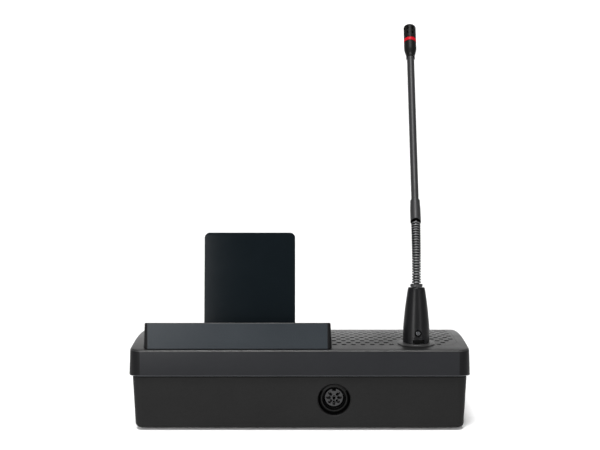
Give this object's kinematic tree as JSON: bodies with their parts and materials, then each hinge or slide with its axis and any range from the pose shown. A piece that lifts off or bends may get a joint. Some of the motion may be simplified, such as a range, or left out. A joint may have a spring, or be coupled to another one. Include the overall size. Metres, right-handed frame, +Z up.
{
  "type": "desk microphone",
  "caption": "Conference delegate unit: a wedge housing with a perforated loudspeaker panel, card reader, display, keys, rear round connector and a lit gooseneck microphone.",
  "frame": {"origin": "under the middle of the housing, in the plane that its rubber feet stand on", "axes": "+Z up; +Y towards the user, out of the low front edge with the keys; the rear wall with the round connector faces -Y; +X to the right as seen from behind, the side that the microphone is on"},
  "size_m": [0.2, 0.144, 0.2382],
  "materials": {
    "cover_plastic": "satin, moulded with a fine texture",
    "shell_plastic": "matte, moulded with a fine texture",
    "grille_plastic": "satin",
    "window_plastic": "gloss",
    "circuit_board": "satin",
    "black_plastic": "satin",
    "card_plastic": "satin laminate",
    "black_metal": "satin black",
    "cone_paper": "matt pressed paper",
    "steel": "plain",
    "light_ring_red": "translucent, gloss",
    "clear_plastic": "frosted",
    "key_plastic": "satin",
    "contact_metal": "plated",
    "rubber": "matte"
  },
  "bodies": {
    "housing": {"top_cover": "cover_plastic", "card_reader_tower": "cover_plastic", "mic_socket": "cover_plastic", "bottom_shell": "shell_plastic", "speaker_grille": "grille_plastic", "display_window": "window_plastic", "display_module": "circuit_board", "card_reader": "black_plastic", "speaker_frame": "black_metal", "speaker_cone": "cone_paper", "din_housing": "black_metal", "din_insert": "black_plastic", "mic_boot": "black_plastic", "boot_screw": "steel", "boot_latch": "black_plastic", "boot_collar": "black_metal", "mic_socket_nut": "steel", "talk_ring": "clear_plastic", "key_board": "circuit_board", "main_board": "circuit_board", "din_contact_1": "contact_metal", "din_contact_2": "contact_metal", "din_contact_3": "contact_metal", "din_contact_4": "contact_metal", "din_contact_5": "contact_metal", "din_contact_6": "contact_metal", "din_contact_7": "contact_metal", "din_contact_8": "contact_metal", "foot_1": "rubber", "case_screw_1": "steel", "board_screw_1": "steel", "foot_2": "rubber", "case_screw_2": "steel", "board_screw_2": "steel", "foot_3": "rubber", "case_screw_3": "steel", "board_screw_3": "steel", "foot_4": "rubber", "case_screw_4": "steel", "board_screw_4": "steel"},
    "card": {"access_card": "card_plastic"},
    "talk_key": {"talk_key": "key_plastic"},
    "head": {"ferrule": "black_metal", "stem": "black_metal", "head_housing": "black_metal", "light_ring": "light_ring_red", "head_grille": "black_metal", "mic_capsule": "steel"},
    "vote_key_1": {"vote_key_1": "key_plastic"},
    "vote_key_2": {"vote_key_2": "key_plastic"},
    "vote_key_3": {"vote_key_3": "key_plastic"},
    "vote_key_4": {"vote_key_4": "key_plastic"},
    "vote_key_5": {"vote_key_5": "key_plastic"},
    "neck_link_1": {"flex_link_1": "black_metal"},
    "neck_link_2": {"flex_link_2": "black_metal"},
    "neck_link_3": {"flex_link_3": "black_metal"},
    "neck_link_4": {"flex_link_4": "black_metal"},
    "neck_link_5": {"flex_link_5": "black_metal"},
    "neck_link_6": {"flex_link_6": "black_metal"}
  },
  "joints": [
    {"name": "neck_tilt_1", "type": "hinge", "parent": "housing", "child": "neck_link_1", "pos_m": [0.06932, -0.04927, 0.08444], "axis": [-0.9996, 0.0279, 0], "range_deg": [-11, 11]},
    {"name": "neck_sway_1", "type": "hinge", "parent": "neck_link_1", "child": "neck_link_2", "pos_m": [0.06935, -0.04825, 0.09064], "axis": [0.0273, 0.9779, -0.2072], "range_deg": [-11, 11]},
    {"name": "neck_tilt_2", "type": "hinge", "parent": "neck_link_2", "child": "neck_link_3", "pos_m": [0.06939, -0.04667, 0.09672], "axis": [-0.9996, 0.0279, 0], "range_deg": [-11, 11]},
    {"name": "neck_sway_2", "type": "hinge", "parent": "neck_link_3", "child": "neck_link_4", "pos_m": [0.06945, -0.04455, 0.10263], "axis": [0.0258, 0.9249, -0.3794], "range_deg": [-11, 11]},
    {"name": "neck_tilt_3", "type": "hinge", "parent": "neck_link_4", "child": "neck_link_5", "pos_m": [0.06952, -0.04191, 0.10833], "axis": [-0.9996, 0.0279, 0], "range_deg": [-11, 11]},
    {"name": "neck_sway_3", "type": "hinge", "parent": "neck_link_5", "child": "neck_link_6", "pos_m": [0.06961, -0.03877, 0.11377], "axis": [0.0235, 0.8419, -0.5392], "range_deg": [-11, 11]},
    {"name": "neck_tilt_4", "type": "hinge", "parent": "neck_link_6", "child": "head", "pos_m": [0.06971, -0.03515, 0.1189], "axis": [-0.9996, 0.0279, 0], "range_deg": [-11, 11]},
    {"name": "card_slide", "type": "slide", "parent": "housing", "child": "card", "axis": [0, 0.2164, 0.9763], "range_m": [0, 0.032]},
    {"name": "vote_key_1_press", "type": "slide", "parent": "housing", "child": "vote_key_1", "axis": [0, -0.3239, -0.9461], "range_m": [0, 0.0008], "stiffness_N_per_m": 400},
    {"name": "vote_key_2_press", "type": "slide", "parent": "housing", "child": "vote_key_2", "axis": [0, -0.3239, -0.9461], "range_m": [0, 0.0008], "stiffness_N_per_m": 400},
    {"name": "vote_key_3_press", "type": "slide", "parent": "housing", "child": "vote_key_3", "axis": [0, -0.3239, -0.9461], "range_m": [0, 0.0008], "stiffness_N_per_m": 400},
    {"name": "vote_key_4_press", "type": "slide", "parent": "housing", "child": "vote_key_4", "axis": [0, -0.3239, -0.9461], "range_m": [0, 0.0008], "stiffness_N_per_m": 400},
    {"name": "vote_key_5_press", "type": "slide", "parent": "housing", "child": "vote_key_5", "axis": [0, -0.3239, -0.9461], "range_m": [0, 0.0008], "stiffness_N_per_m": 400},
    {"name": "talk_key_press", "type": "slide", "parent": "housing", "child": "talk_key", "axis": [0, -0.3239, -0.9461], "range_m": [0, 0.0008], "stiffness_N_per_m": 400}
  ],
  "couplings": [
    {"joint": "neck_tilt_2", "follows": "neck_tilt_1", "ratio": 1},
    {"joint": "neck_sway_2", "follows": "neck_sway_1", "ratio": 1},
    {"joint": "neck_tilt_3", "follows": "neck_tilt_1", "ratio": 1},
    {"joint": "neck_sway_3", "follows": "neck_sway_1", "ratio": 1},
    {"joint": "neck_tilt_4", "follows": "neck_tilt_1", "ratio": 1}
  ]
}
